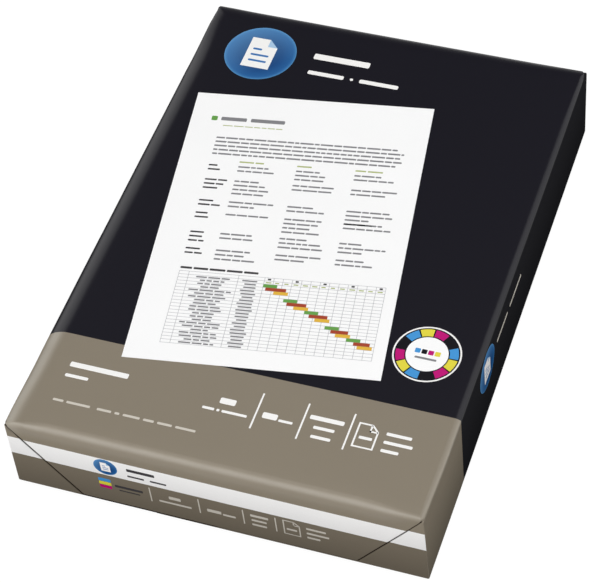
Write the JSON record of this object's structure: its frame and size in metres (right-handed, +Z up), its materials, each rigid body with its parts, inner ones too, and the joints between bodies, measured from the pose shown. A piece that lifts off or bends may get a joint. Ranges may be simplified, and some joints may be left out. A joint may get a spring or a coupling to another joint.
{
  "type": "ream of paper",
  "caption": "Sealed ream of office paper: a flat block of sheets in a printed paper wrapper with glued end folds.",
  "frame": {"origin": "middle of the underside's outline, on the surface the ream rests on", "axes": "+X across the sheets, +Y along them and away from the end with the white stripe, +Z up"},
  "size_m": [0.2112, 0.2981, 0.0501],
  "materials": {
    "wrapper": "satin printed paper"
  },
  "bodies": {
    "root": {"ream": "wrapper"}
  },
  "joints": []
}
